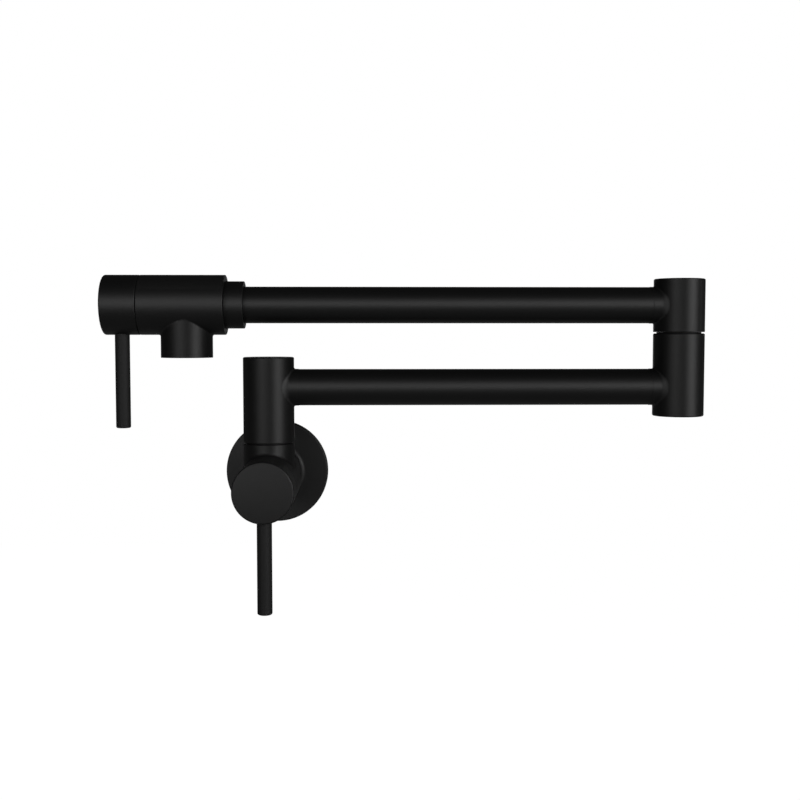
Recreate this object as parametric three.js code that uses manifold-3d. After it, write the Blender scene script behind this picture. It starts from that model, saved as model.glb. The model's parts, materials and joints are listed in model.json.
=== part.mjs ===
// A wall mounted pot filler with two folding arms, in millimetres.
// The origin is the centre of the wall flange's back face. +Z is up, -Y points out of the wall into the
// room, and +X is to the right of a viewer who faces the wall. The arms are folded along the wall.
import * as THREE from 'three';
import { mergeVertices } from 'three/addons/utils/BufferGeometryUtils.js';
import Module from 'manifold-3d';

const wasm = await Module();
wasm.setup();

// ---------------------------------------------------------------- driving dimensions

// clearances and edges
const FIT = 0.3; // round parts that are screwed or pressed together
const RUN = 0.3; // parts that turn on each other
const OVERCUT = 5; // how far a cutting tool runs past the face that it opens
const SOFT_EDGE = 1; // chamfer on the outer edges
const FINE_EDGE = 0.5; // chamfer on small parts

// facets round each turned part
const FLANGE_SIDES = 36;
const BODY_SIDES = 24;
const TUBE_SIDES = 20;
const INNER_SIDES = 16; // seals, nuts and posts inside the bodies
const SMALL_SIDES = 12;
const PORT_SIDES = 8;
const RING_SIDES = 5; // round the section of an O-ring
const ROUND_STEPS = 2; // in the rounded edge of the flange
const FLARE_BOW = 0.3; // where the middle of a two-step fillet lies, as a share of its size

// arms
const LOWER_ARM = 250; // wall column axis to elbow axis
const TUBE_R = 11;
const TUBE_WALL = 2;
const SPOUT_CLEARANCE = 18.1; // between the column and the spout when the arms are folded

// ceramic disc cartridges, both alike
const DISC_R = 8.7;
const DISC_T = 3;
const DISC_PORT_R = 2.6;
const DISC_PORT_OUT = 5; // disc axis to port axis
const HOUSING_WALL = 2.7;
const SEAL_T = 2.5;
const SEAL_WIDTH = 4;
const SEAT_DEPTH = 15; // outlet axis back to the seat that the seal rests on
const WINDOW_R = 4;
const ROOF_X = 7; // outlet axis out to the housing's roof
const SHOULDER_X = 14; // outlet axis out to the shoulder that the nut presses on
const HOUSING_NECK = 5;
const NUT_STEP = 2; // how far the nut reaches outside the housing
const NUT_T = 6.5;
const BODY_WALL = 4; // round the nut
const SPINDLE_R = 4;
const TANG_WIDTH = 3.4;
const TANG_DEPTH = 1.8; // how deep the tang stands in the moving disc
const TANG_T = 3.6;
const SPINDLE_COLLAR_R = 6;
const SPINDLE_COLLAR_T = 2.5;

// handles, both alike but for the lever's length
const KNOB_DEPTH = 22;
const LEVER_SETBACK = 11; // knob face to lever axis
const LEVER_R = 4.4;
const LEVER_SOCKET = 8.4; // how deep the lever stands in the knob
const MAIN_LEVER_REACH = 72.3; // valve axis to lever tip
const SPOUT_LEVER_REACH = 74.2;
const SCREW_R = 2.3;
const SPINDLE_PAST_SCREW = 1;

// swivels, both alike
const POST_R = 8;
const POST_BORE_R = 5;
const POST_LEDGE = 1.5; // metal between the valve chamber and the post's foot
const POST_HEAD = 1.2; // above the retaining clip
const POST_WINDOW_R = 3.5;
const RISER_R = 6;
const WATER_GROOVE = 1; // depth of the groove that leads the water round the post
const WATER_GROOVE_HALF = 5.5;
const SOCKET_WEB = 1; // metal between the water groove and the tube's end
const HUB_COVER = 0.1; // how far the hub's face covers the corner of the tube's end
const HUB_RIM = 3.1; // metal round the cap
const CAP_T = 1.6;
const CAP_WALL = 1.6;
const CLIP_T = 1;
const CLIP_GAP = 4; // opening of a retaining clip
const SPINDLE_CLIP_WIDTH = 2.2;
const WASHER_T = 0.5;
const WASHER_INSET = 2; // a thrust washer's rim behind the hub's face
const O_RING_R = 0.75;
const O_RING_STAND = 0.05; // how far an O-ring stands out of its groove
const O_RING_OFFSET = 8.8; // above and below the arm's axis

// hubs
const NECK_SHOW = 7.3; // top of the valve body to the column's lower edge
const COLUMN_DROP = 33.1; // column's lower edge to the lower arm's axis
const COLUMN_SPARE = 2.3; // column head above what the clip and the cap need
const ELBOW_DROP = 17.8; // lower arm's axis to the elbow's underside
const ELBOW_RISE = 32.6; // lower arm's axis to the top of the lower elbow hub
const UPPER_DROP = 16.3; // underside of the upper elbow hub to the upper arm's axis
const PLUG_R = 9;
const PLUG_T = 4;

// wall side
const COLUMN_OUT = 65; // wall to column axis
const FLANGE_R = 33.5;
const FLANGE_T = 6;
const FLANGE_ROUND = 2.2;
const GASKET_R = 30.7;
const GASKET_WIDTH = 3.4;
const GASKET_T = 1.8;
const SHANK_R = 10.48; // over the G 1/2 thread
const SHANK_BORE_R = 7.5;
const SHANK_BEHIND = 22; // behind the wall face
const SHANK_IN_BODY = 14;
const INLET_WASHER_T = 2;
const BODY_FLARE = 3.2; // how far the valve body spreads where it meets the flange
const MAIN_FRONT_SPARE = 2.9; // valve body in front of the nut

// spout
const SPOUT_R = 15.5;
const SPOUT_DROP = 31.7; // upper arm's axis to the spout's mouth
const SPOUT_FRONT_SPARE = 6.9;
const SPOUT_WALL = 4.2;
const SPOUT_BORE_R = 8;
const TUBE_SOCKET = 5.7; // how deep the upper tube stands in the spout's valve body
const SOCKET_FLOOR = 2.9;
const COLLAR_L = 11.2;
const COLLAR_WALL = 2.9;
const MOUTH_DEPTH = 1.2; // aerator behind the spout's mouth
const AERATOR_H = 12.4;
const AERATOR_WALL = 1.7;
const AERATOR_LIP = 0.9;
const AERATOR_LIP_T = 1;
const INSERT_CLEAR = 2; // between the insert and the aerator's washer
const JET_R = 1.1;
const JET_RING_R = 5.4;
const JETS = 8;
const AERATOR_WASHER_T = 2;
const AERATOR_WASHER_WIDTH = 2.5;

// ---------------------------------------------------------------- worked out from them

const cavityR = DISC_R + FIT;
const housingR = cavityR + HOUSING_WALL;
const chamberR = housingR + FIT;
const nutBoreR = chamberR + NUT_STEP;
const valveR = nutBoreR + BODY_WALL;
const nutFrontX = SHOULDER_X + NUT_T;
const mainFrontX = nutFrontX + MAIN_FRONT_SPARE;
const spoutFrontX = nutFrontX + SPOUT_FRONT_SPARE;

const hubBoreR = POST_R + RUN;
const waterGrooveR = hubBoreR + WATER_GROOVE;
const tubeSeat = waterGrooveR + SOCKET_WEB;
const tubeSocketR = TUBE_R + FIT;
const tubeBoreR = TUBE_R - TUBE_WALL;
const hubR = Math.hypot(tubeSocketR, tubeSeat) + HUB_COVER;
const barrelEndX = COLUMN_OUT - SEAT_DEPTH - BODY_WALL;
const capR = hubR - HUB_RIM - FIT;
const clipR = capR - CAP_WALL - 2 * FIT;

// heights above an arm's axis, inside the hub that turns on a post
const shoulderUp = tubeSocketR + FIT;
const clipUp = shoulderUp + RUN;
const postTopUp = clipUp + CLIP_T + POST_HEAD;
const hubTopUp = postTopUp + RUN + CAP_T;

const columnBottomZ = valveR + NECK_SHOW;
const neckTopZ = columnBottomZ - WASHER_T - RUN;
const postThread = neckTopZ - chamberR - POST_LEDGE;
const lowerArmZ = columnBottomZ + COLUMN_DROP;
const columnTopZ = lowerArmZ + hubTopUp + COLUMN_SPARE;
const elbowBottomZ = lowerArmZ - ELBOW_DROP;
const elbowSeatZ = lowerArmZ + ELBOW_RISE;
const upperHubBottomZ = elbowSeatZ + WASHER_T + RUN;
const upperArmZ = upperHubBottomZ + UPPER_DROP;
const upperHubTopZ = upperArmZ + hubTopUp;

const spoutOut = LOWER_ARM + hubR + SPOUT_R + SPOUT_CLEARANCE;
const spoutBackX = -SEAT_DEPTH - SOCKET_FLOOR - TUBE_SOCKET;
const upperTubeEnd = spoutOut - SEAT_DEPTH - SOCKET_FLOOR;
const collarR = tubeSocketR + COLLAR_WALL;
const shankSocketR = SHANK_R + FIT;

// ---------------------------------------------------------------- materials

function finish(color, roughness, metalness) {
  return new THREE.MeshStandardMaterial({ color, roughness, metalness });
}

const MATTE_BLACK = finish(0x1b1b1c, 0.55, 0.2);
const BRASS = finish(0xb08d4f, 0.4, 1);
const STEEL = finish(0xb9bcc0, 0.35, 1);
const RUBBER = finish(0x161616, 0.9, 0);
const CERAMIC = finish(0xe9e6df, 0.3, 0);
const PLASTIC = finish(0x1d1d1d, 0.5, 0);

// ---------------------------------------------------------------- shape helpers

const WELD = 1e-4;

// Joins the vertices that a three.js geometry keeps apart at its seams, so that it closes.
function closed(geometry) {
  geometry.deleteAttribute('normal');
  geometry.deleteAttribute('uv');
  const merged = mergeVertices(geometry, WELD);
  const corners = merged.index.array;
  const kept = [];
  for (let i = 0; i < corners.length; i += 3) {
    const [a, b, c] = corners.slice(i, i + 3);
    if (a !== b && b !== c && c !== a) kept.push(a, b, c);
  }
  merged.setIndex(kept);
  return merged;
}

// Turns an outline of [radius, distance along the axis] points about the z or x axis.
// The outline starts and ends on the axis, or is closed here.
function turned(axis, sides, outline) {
  const points = outline.map(([radius, along]) => new THREE.Vector2(radius, along));
  if (THREE.ShapeUtils.isClockWise(points)) points.reverse();
  if (points[0].x > 0) points.push(points[0].clone());
  const geometry = closed(new THREE.LatheGeometry(points, sides));
  if (axis === 'z') geometry.rotateX(Math.PI / 2);
  if (axis === 'x') geometry.rotateZ(-Math.PI / 2);
  return geometry;
}

// A round bar from one place on the axis to another, with a chamfer at each end.
function bar(axis, sides, radius, from, to, edge = 0) {
  const outline = [[0, from], [radius - edge, from], [radius, from + edge]];
  outline.push([radius, to - edge], [radius - edge, to], [0, to]);
  return turned(axis, sides, edge > 0 ? outline : [[0, from], [radius, from], [radius, to], [0, to]]);
}

// A flat ring or a tube.
function ring(axis, sides, inner, outer, from, to) {
  return turned(axis, sides, [[inner, from], [outer, from], [outer, to], [inner, to]]);
}

// An O-ring whose middle lies at a place on the axis.
function oRing(axis, sides, middleR, middle) {
  const outline = [];
  for (let i = 0; i < RING_SIDES; i += 1) {
    const angle = (2 * Math.PI * i) / RING_SIDES;
    outline.push([middleR + O_RING_R * Math.cos(angle), middle + O_RING_R * Math.sin(angle)]);
  }
  return turned(axis, sides, outline);
}

function box(x0, x1, y0, y1, z0, z1) {
  const geometry = closed(new THREE.BoxGeometry(x1 - x0, y1 - y0, z1 - z0));
  return geometry.translate((x0 + x1) / 2, (y0 + y1) / 2, (z0 + z1) / 2);
}

function solidOf(geometry) {
  const vertProperties = new Float32Array(geometry.attributes.position.array);
  const triVerts = Uint32Array.from(geometry.index.array);
  return new wasm.Manifold(new wasm.Mesh({ numProp: 3, vertProperties, triVerts }));
}

function geometryOf(solid) {
  const mesh = solid.getMesh();
  const geometry = new THREE.BufferGeometry();
  geometry.setAttribute('position', new THREE.BufferAttribute(new Float32Array(mesh.vertProperties), 3));
  geometry.setIndex(Array.from(mesh.triVerts));
  return geometry;
}

function join(first, ...others) {
  return geometryOf(others.reduce((sum, other) => sum.add(solidOf(other)), solidOf(first)));
}

function cut(first, ...tools) {
  return geometryOf(tools.reduce((rest, tool) => rest.subtract(solidOf(tool)), solidOf(first)));
}

function place(frame, name, material, geometry) {
  geometry.computeVertexNormals();
  const mesh = new THREE.Mesh(geometry, material);
  mesh.name = name;
  frame.add(mesh);
}

function framed(parent, x, y, z, turn = 0) {
  const frame = new THREE.Group();
  frame.position.set(x, y, z);
  frame.rotation.z = turn;
  parent.add(frame);
  return frame;
}

// A C-shaped retaining clip that opens towards -x.
function clip(axis, inner, outer, from) {
  const slot = CLIP_GAP / 2;
  const blank = ring(axis, SMALL_SIDES, inner, outer, from, from + CLIP_T);
  if (axis === 'z') return cut(blank, box(-outer - OVERCUT, 0, -slot, slot, from - OVERCUT, from + OVERCUT));
  return cut(blank, box(from - OVERCUT, from + OVERCUT, -slot, slot, 0, outer + OVERCUT));
}

// ---------------------------------------------------------------- cartridge and handle

// Both valves are drawn along +x, with the outlet axis at x = 0 and the lever hanging towards -z.

const fixedDiscX = SEAL_T - SEAT_DEPTH;
const movingDiscX = fixedDiscX + DISC_T + RUN;
const tangX = movingDiscX + DISC_T - TANG_DEPTH + FIT;
const spindleFootX = tangX + TANG_T;
const spindleClipX = SHOULDER_X + HOUSING_NECK + RUN;
const spindleSealX = (ROOF_X + spindleClipX) / 2;
const spindleGrooveR = SPINDLE_R + O_RING_STAND - 2 * O_RING_R - FIT;
const spindleClipGrooveR = SPINDLE_R - 2 * FIT;

function discPorts(from, direction) {
  const ports = [];
  for (const side of [-1, 1]) {
    const port = bar('x', PORT_SIDES, DISC_PORT_R, from - OVERCUT, from + DISC_T + OVERCUT);
    const out = side * DISC_PORT_OUT;
    ports.push(direction === 'y' ? port.translate(0, out, 0) : port.translate(0, 0, out));
  }
  return ports;
}

function cartridgeHousing() {
  const neckR = cavityR - FIT;
  const boreR = SPINDLE_R + RUN;
  const shell = turned('x', INNER_SIDES, [
    [cavityR, fixedDiscX], [housingR, fixedDiscX], [housingR, SHOULDER_X], [neckR, SHOULDER_X],
    [neckR, SHOULDER_X + HOUSING_NECK], [boreR, SHOULDER_X + HOUSING_NECK],
    [boreR, ROOF_X], [cavityR, ROOF_X],
  ]);
  const upright = bar('z', PORT_SIDES, WINDOW_R, -chamberR, chamberR);
  const level = upright.clone().rotateX(Math.PI / 2);
  return cut(shell, upright, level);
}

function spindle(endX) {
  const shaft = turned('x', SMALL_SIDES, [
    [0, spindleFootX - FIT], [SPINDLE_R, spindleFootX - FIT],
    [SPINDLE_R, ROOF_X - RUN - SPINDLE_COLLAR_T], [SPINDLE_COLLAR_R, ROOF_X - RUN - SPINDLE_COLLAR_T],
    [SPINDLE_COLLAR_R, ROOF_X - RUN], [SPINDLE_R, ROOF_X - RUN],
    [SPINDLE_R, spindleSealX - O_RING_R - FIT], [spindleGrooveR, spindleSealX - O_RING_R - FIT],
    [spindleGrooveR, spindleSealX + O_RING_R + FIT], [SPINDLE_R, spindleSealX + O_RING_R + FIT],
    [SPINDLE_R, spindleClipX], [spindleClipGrooveR, spindleClipX],
    [spindleClipGrooveR, spindleClipX + CLIP_T], [SPINDLE_R, spindleClipX + CLIP_T],
    [SPINDLE_R, endX - FINE_EDGE], [SPINDLE_R - FINE_EDGE, endX], [0, endX],
  ]);
  const half = TANG_WIDTH / 2;
  const tang = box(tangX, spindleFootX, -half, half, FIT - DISC_R, DISC_R - FIT);
  return join(shaft, tang);
}

function movingDisc() {
  const half = TANG_WIDTH / 2 + FIT;
  const top = movingDiscX + DISC_T;
  const slot = box(top - TANG_DEPTH, top + OVERCUT, -half, half, -DISC_R - OVERCUT, DISC_R + OVERCUT);
  const blank = bar('x', INNER_SIDES, DISC_R, movingDiscX, top);
  return cut(blank, slot, ...discPorts(movingDiscX, 'y'));
}

function cartridge(frame, name, spindleEndX) {
  const sealOuterR = housingR - FIT;
  const seal = ring('x', INNER_SIDES, sealOuterR - SEAL_WIDTH, sealOuterR, -SEAT_DEPTH, fixedDiscX);
  const fixedBlank = bar('x', INNER_SIDES, DISC_R, fixedDiscX, fixedDiscX + DISC_T);
  const nutR = nutBoreR - FIT;
  const nut = ring('x', INNER_SIDES, cavityR, nutR, SHOULDER_X, nutFrontX);
  const stemRing = oRing('x', SMALL_SIDES, spindleGrooveR + FIT + O_RING_R, spindleSealX);
  const clipInnerR = spindleClipGrooveR + FIT;
  const stemClip = clip('x', clipInnerR, clipInnerR + SPINDLE_CLIP_WIDTH, spindleClipX);
  place(frame, `${name}_cartridge_seal`, RUBBER, seal);
  place(frame, `${name}_fixed_disc`, CERAMIC, cut(fixedBlank, ...discPorts(fixedDiscX, 'z')));
  place(frame, `${name}_moving_disc`, CERAMIC, movingDisc());
  place(frame, `${name}_cartridge_housing`, BRASS, cartridgeHousing());
  place(frame, `${name}_cartridge_nut`, BRASS, nut);
  place(frame, `${name}_spindle`, BRASS, spindle(spindleEndX));
  place(frame, `${name}_spindle_o_ring`, RUBBER, stemRing);
  place(frame, `${name}_spindle_clip`, STEEL, stemClip);
}

function handle(frame, name, backX, leverReach) {
  const faceX = backX + KNOB_DEPTH;
  const leverX = faceX - LEVER_SETBACK;
  const spindleEndX = leverX + SCREW_R + SPINDLE_PAST_SCREW;
  const socketZ = LEVER_SOCKET - valveR;
  const blank = bar('x', BODY_SIDES, valveR, backX, faceX, SOFT_EDGE);
  const spindleHole = bar('x', SMALL_SIDES, SPINDLE_R + FIT, backX - OVERCUT, spindleEndX + FIT);
  const leverHole = bar('z', SMALL_SIDES, LEVER_R + FIT, -valveR - OVERCUT, socketZ).translate(leverX, 0, 0);
  const screwHole = bar('z', PORT_SIDES, SCREW_R + FIT, socketZ - OVERCUT, 0).translate(leverX, 0, 0);
  const screw = bar('z', PORT_SIDES, SCREW_R, socketZ + FIT, -SPINDLE_R - FIT, FINE_EDGE);
  const lever = bar('z', SMALL_SIDES, LEVER_R, -leverReach, socketZ, FINE_EDGE);
  place(frame, `${name}_knob`, MATTE_BLACK, cut(blank, spindleHole, leverHole, screwHole));
  place(frame, `${name}_lever`, MATTE_BLACK, lever.translate(leverX, 0, 0));
  place(frame, `${name}_knob_set_screw`, STEEL, screw.translate(leverX, 0, 0));
  cartridge(frame, name, spindleEndX);
}

// ---------------------------------------------------------------- swivel post and hubs

const oRingMiddleR = POST_R + O_RING_STAND - O_RING_R;
const postGrooveR = oRingMiddleR - O_RING_R - FIT;
const postClipGrooveR = POST_R - 3 * FIT;

// The post stands in its base up to seatZ, and a hub whose arm lies at armZ turns on it.
function swivelPost(seatZ, armZ) {
  const outline = [[0, armZ + POST_BORE_R], [POST_BORE_R, armZ + POST_BORE_R]];
  outline.push([POST_BORE_R, seatZ - postThread], [POST_R, seatZ - postThread]);
  for (const middle of [armZ - O_RING_OFFSET, armZ + O_RING_OFFSET]) {
    const half = O_RING_R + FIT;
    outline.push([POST_R, middle - half], [postGrooveR, middle - half]);
    outline.push([postGrooveR, middle + half], [POST_R, middle + half]);
  }
  const clipZ = armZ + clipUp;
  const topZ = armZ + postTopUp;
  outline.push([POST_R, clipZ], [postClipGrooveR, clipZ]);
  outline.push([postClipGrooveR, clipZ + CLIP_T], [POST_R, clipZ + CLIP_T]);
  outline.push([POST_R, topZ - FINE_EDGE], [POST_R - FINE_EDGE, topZ], [0, topZ]);
  const blank = turned('z', INNER_SIDES, outline);
  const windowX = bar('x', PORT_SIDES, POST_WINDOW_R, -POST_R - OVERCUT, POST_R + OVERCUT);
  const windowY = windowX.clone().rotateZ(Math.PI / 2);
  return cut(blank, windowX.translate(0, 0, armZ), windowY.translate(0, 0, armZ));
}

function swivel(frame, name, seatZ, armZ, washerR) {
  const clipInnerR = postClipGrooveR + FIT;
  const washer = ring('z', BODY_SIDES, POST_R + FIT, washerR, seatZ, seatZ + WASHER_T);
  const lowerRing = oRing('z', INNER_SIDES, oRingMiddleR, armZ - O_RING_OFFSET);
  const upperRing = oRing('z', INNER_SIDES, oRingMiddleR, armZ + O_RING_OFFSET);
  place(frame, `${name}_post`, BRASS, swivelPost(seatZ, armZ));
  place(frame, `${name}_thrust_washer`, PLASTIC, washer);
  place(frame, `${name}_o_ring_lower`, RUBBER, lowerRing);
  place(frame, `${name}_o_ring_upper`, RUBBER, upperRing);
  place(frame, `${name}_retaining_clip`, STEEL, clip('z', clipInnerR, clipR, armZ + clipUp));
}

// The seat for an arm's tube in the side of a hub, towards +x or -x, with the water's way into it.
function tubeSocket(side, armZ) {
  const seat = bar('x', TUBE_SIDES, tubeSocketR, tubeSeat, hubR + OVERCUT);
  const way = bar('x', SMALL_SIDES, POST_BORE_R, 0, tubeSeat + SOCKET_WEB);
  const turn = side > 0 ? 0 : Math.PI;
  return [seat, way].map((tool) => tool.rotateZ(turn).translate(0, 0, armZ));
}

// A hub that turns on a post, open at its top for the cap.
function turningHub(bottomZ, armZ, topZ) {
  const capBoreR = capR + FIT;
  const shoulderZ = armZ + shoulderUp;
  const blank = turned('z', BODY_SIDES, [
    [hubBoreR, bottomZ], [hubR - FINE_EDGE, bottomZ], [hubR, bottomZ + FINE_EDGE],
    [hubR, topZ - SOFT_EDGE], [hubR - SOFT_EDGE, topZ], [capBoreR, topZ],
    [capBoreR, shoulderZ], [hubBoreR, shoulderZ], [hubBoreR, armZ + WATER_GROOVE_HALF],
    [waterGrooveR, armZ + WATER_GROOVE_HALF], [waterGrooveR, armZ - WATER_GROOVE_HALF],
    [hubBoreR, armZ - WATER_GROOVE_HALF],
  ]);
  return cut(blank, ...tubeSocket(1, armZ));
}

function hubCap(armZ, topZ) {
  const insideR = capR - CAP_WALL;
  const shoulderZ = armZ + shoulderUp;
  return turned('z', TUBE_SIDES, [
    [0, topZ - CAP_T], [insideR, topZ - CAP_T], [insideR, shoulderZ],
    [capR, shoulderZ], [capR, topZ], [0, topZ],
  ]);
}

// The elbow's lower hub carries the post. Its riser is closed by a plug at the bottom.
function lowerElbowHub() {
  const plugBoreR = PLUG_R + FIT;
  const plugZ = elbowBottomZ + PLUG_T;
  const socketZ = elbowSeatZ - postThread;
  const blank = turned('z', BODY_SIDES, [
    [plugBoreR, elbowBottomZ], [hubR - SOFT_EDGE, elbowBottomZ], [hubR, elbowBottomZ + SOFT_EDGE],
    [hubR, elbowSeatZ - SOFT_EDGE], [hubR - SOFT_EDGE, elbowSeatZ], [POST_R + FIT, elbowSeatZ],
    [POST_R + FIT, socketZ], [RISER_R, socketZ], [RISER_R, plugZ], [plugBoreR, plugZ],
  ]);
  return cut(blank, ...tubeSocket(-1, lowerArmZ));
}

// ---------------------------------------------------------------- wall side

function wallFlange() {
  const boreR = shankSocketR;
  const grooveOuterR = GASKET_R + FIT;
  const grooveInnerR = GASKET_R - GASKET_WIDTH - FIT;
  const outline = [[boreR, 0], [grooveInnerR, 0], [grooveInnerR, GASKET_T], [grooveOuterR, GASKET_T]];
  outline.push([grooveOuterR, 0], [FLANGE_R - FINE_EDGE, 0], [FLANGE_R, FINE_EDGE]);
  for (let i = 0; i <= ROUND_STEPS; i += 1) {
    const angle = (Math.PI / 2) * (i / ROUND_STEPS);
    const radius = FLANGE_R - FLANGE_ROUND * (1 - Math.cos(angle));
    outline.push([radius, FLANGE_T - FLANGE_ROUND * (1 - Math.sin(angle))]);
  }
  outline.push([boreR, FLANGE_T]);
  return turned('x', FLANGE_SIDES, outline);
}

function mainValveBody() {
  const frontX = COLUMN_OUT + mainFrontX;
  const seatX = COLUMN_OUT - SEAT_DEPTH;
  const inletX = FLANGE_T + SHANK_IN_BODY + INLET_WASHER_T;
  const flareMiddle = BODY_FLARE * FLARE_BOW;
  const blank = turned('x', BODY_SIDES, [
    [0, FLANGE_T], [hubR + BODY_FLARE, FLANGE_T], [hubR + flareMiddle, FLANGE_T + flareMiddle],
    [hubR, FLANGE_T + BODY_FLARE], [hubR, barrelEndX],
    [valveR - SOFT_EDGE, barrelEndX], [valveR, barrelEndX + SOFT_EDGE],
    [valveR, frontX - FINE_EDGE], [valveR - FINE_EDGE, frontX], [0, frontX],
  ]);
  const neck = bar('z', BODY_SIDES, hubR, 0, neckTopZ, FINE_EDGE);
  const bores = turned('x', BODY_SIDES, [
    [0, FLANGE_T - OVERCUT], [shankSocketR, FLANGE_T - OVERCUT], [shankSocketR, inletX], [SHANK_BORE_R, inletX],
    [SHANK_BORE_R, seatX], [chamberR, seatX], [chamberR, COLUMN_OUT + SHOULDER_X],
    [nutBoreR, COLUMN_OUT + SHOULDER_X], [nutBoreR, frontX + OVERCUT], [0, frontX + OVERCUT],
  ]);
  const postSocket = bar('z', TUBE_SIDES, POST_R + FIT, neckTopZ - postThread, neckTopZ + OVERCUT);
  const riser = bar('z', SMALL_SIDES, RISER_R, 0, neckTopZ);
  const upright = [neck, postSocket, riser].map((shape) => shape.translate(COLUMN_OUT, 0, 0));
  return cut(join(blank, upright[0]), bores, upright[1], upright[2]);
}

function addWallSide(model) {
  const wall = framed(model, 0, 0, 0, -Math.PI / 2); // x is now the distance out of the wall
  const shankEndX = FLANGE_T + SHANK_IN_BODY;
  const shank = turned('x', INNER_SIDES, [
    [SHANK_BORE_R, -SHANK_BEHIND], [SHANK_R - SOFT_EDGE, -SHANK_BEHIND], [SHANK_R, SOFT_EDGE - SHANK_BEHIND],
    [SHANK_R, shankEndX], [SHANK_BORE_R, shankEndX],
  ]);
  const gasket = ring('x', FLANGE_SIDES, GASKET_R - GASKET_WIDTH, GASKET_R, 0, GASKET_T);
  const washer = ring('x', INNER_SIDES, SHANK_BORE_R + FIT, SHANK_R, shankEndX, shankEndX + INLET_WASHER_T);
  place(wall, 'wall_flange', MATTE_BLACK, wallFlange());
  place(wall, 'flange_gasket', RUBBER, gasket);
  place(wall, 'inlet_shank', BRASS, shank);
  place(wall, 'inlet_washer', RUBBER, washer);
  place(wall, 'main_valve_body', MATTE_BLACK, mainValveBody());
  handle(framed(wall, COLUMN_OUT, 0, 0), 'main', mainFrontX + RUN, MAIN_LEVER_REACH);
  swivel(framed(wall, COLUMN_OUT, 0, 0), 'wall', neckTopZ, lowerArmZ, hubR - WASHER_INSET);
}

// ---------------------------------------------------------------- lower arm

function addLowerArm(model) {
  const arm = framed(model, 0, -COLUMN_OUT, 0);
  const elbow = framed(arm, LOWER_ARM, 0, 0);
  const tube = ring('x', TUBE_SIDES, tubeBoreR, TUBE_R, tubeSeat, LOWER_ARM - tubeSeat);
  const plug = bar('z', INNER_SIDES, PLUG_R, elbowBottomZ, elbowBottomZ + PLUG_T);
  place(arm, 'wall_column_hub', MATTE_BLACK, turningHub(columnBottomZ, lowerArmZ, columnTopZ));
  place(arm, 'wall_column_cap', MATTE_BLACK, hubCap(lowerArmZ, columnTopZ));
  place(arm, 'lower_arm_tube', MATTE_BLACK, tube.translate(0, 0, lowerArmZ));
  place(elbow, 'lower_elbow_hub', MATTE_BLACK, lowerElbowHub());
  place(elbow, 'lower_elbow_plug', MATTE_BLACK, plug);
  swivel(elbow, 'elbow', elbowSeatZ, upperArmZ, hubR - WASHER_INSET);
}

// ---------------------------------------------------------------- upper arm and spout

const aeratorBoreR = SPOUT_R - SPOUT_WALL;
const aeratorR = aeratorBoreR - FIT;
const mouthZ = -SPOUT_DROP; // in the spout valve's own frame, whose z = 0 is the upper arm's axis
const aeratorZ = mouthZ + MOUTH_DEPTH;
const aeratorTopZ = aeratorZ + AERATOR_H;
const aeratorSeatZ = aeratorTopZ + AERATOR_WASHER_T;

function spoutValveBody() {
  const blank = turned('x', BODY_SIDES, [
    [tubeSocketR, spoutBackX], [valveR - SOFT_EDGE, spoutBackX], [valveR, spoutBackX + SOFT_EDGE],
    [valveR, spoutFrontX - FINE_EDGE], [valveR - FINE_EDGE, spoutFrontX], [nutBoreR, spoutFrontX],
    [nutBoreR, SHOULDER_X], [chamberR, SHOULDER_X], [chamberR, -SEAT_DEPTH], [SHANK_BORE_R, -SEAT_DEPTH],
    [SHANK_BORE_R, spoutBackX + TUBE_SOCKET], [tubeSocketR, spoutBackX + TUBE_SOCKET],
  ]);
  const outlet = bar('z', BODY_SIDES, SPOUT_R, mouthZ, -nutBoreR - BODY_WALL / 4, SOFT_EDGE);
  const aeratorBore = bar('z', TUBE_SIDES, aeratorBoreR, mouthZ - OVERCUT, aeratorSeatZ);
  const way = bar('z', SMALL_SIDES, SPOUT_BORE_R, mouthZ, 0);
  return cut(join(blank, outlet), aeratorBore, way);
}

function addAerator(frame) {
  const insideR = aeratorR - AERATOR_WALL;
  const lipZ = aeratorZ + AERATOR_LIP_T;
  const shell = turned('z', INNER_SIDES, [
    [insideR - AERATOR_LIP, aeratorZ], [aeratorR, aeratorZ], [aeratorR, aeratorTopZ],
    [insideR, aeratorTopZ], [insideR, lipZ], [insideR - AERATOR_LIP, lipZ],
  ]);
  const insertTopZ = aeratorTopZ - INSERT_CLEAR;
  const jets = [];
  for (let i = 0; i < JETS; i += 1) {
    const angle = (2 * Math.PI * i) / JETS;
    const jet = bar('z', PORT_SIDES, JET_R, lipZ - OVERCUT, insertTopZ + OVERCUT);
    jets.push(jet.translate(JET_RING_R * Math.cos(angle), JET_RING_R * Math.sin(angle), 0));
  }
  const blank = bar('z', INNER_SIDES, insideR - FIT, lipZ, insertTopZ);
  const washer = ring('z', INNER_SIDES, aeratorR - AERATOR_WASHER_WIDTH, aeratorR, aeratorTopZ, aeratorSeatZ);
  place(frame, 'aerator_housing', BRASS, shell);
  place(frame, 'aerator_insert', PLASTIC, cut(blank, ...jets));
  place(frame, 'aerator_washer', RUBBER, washer);
}

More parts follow.
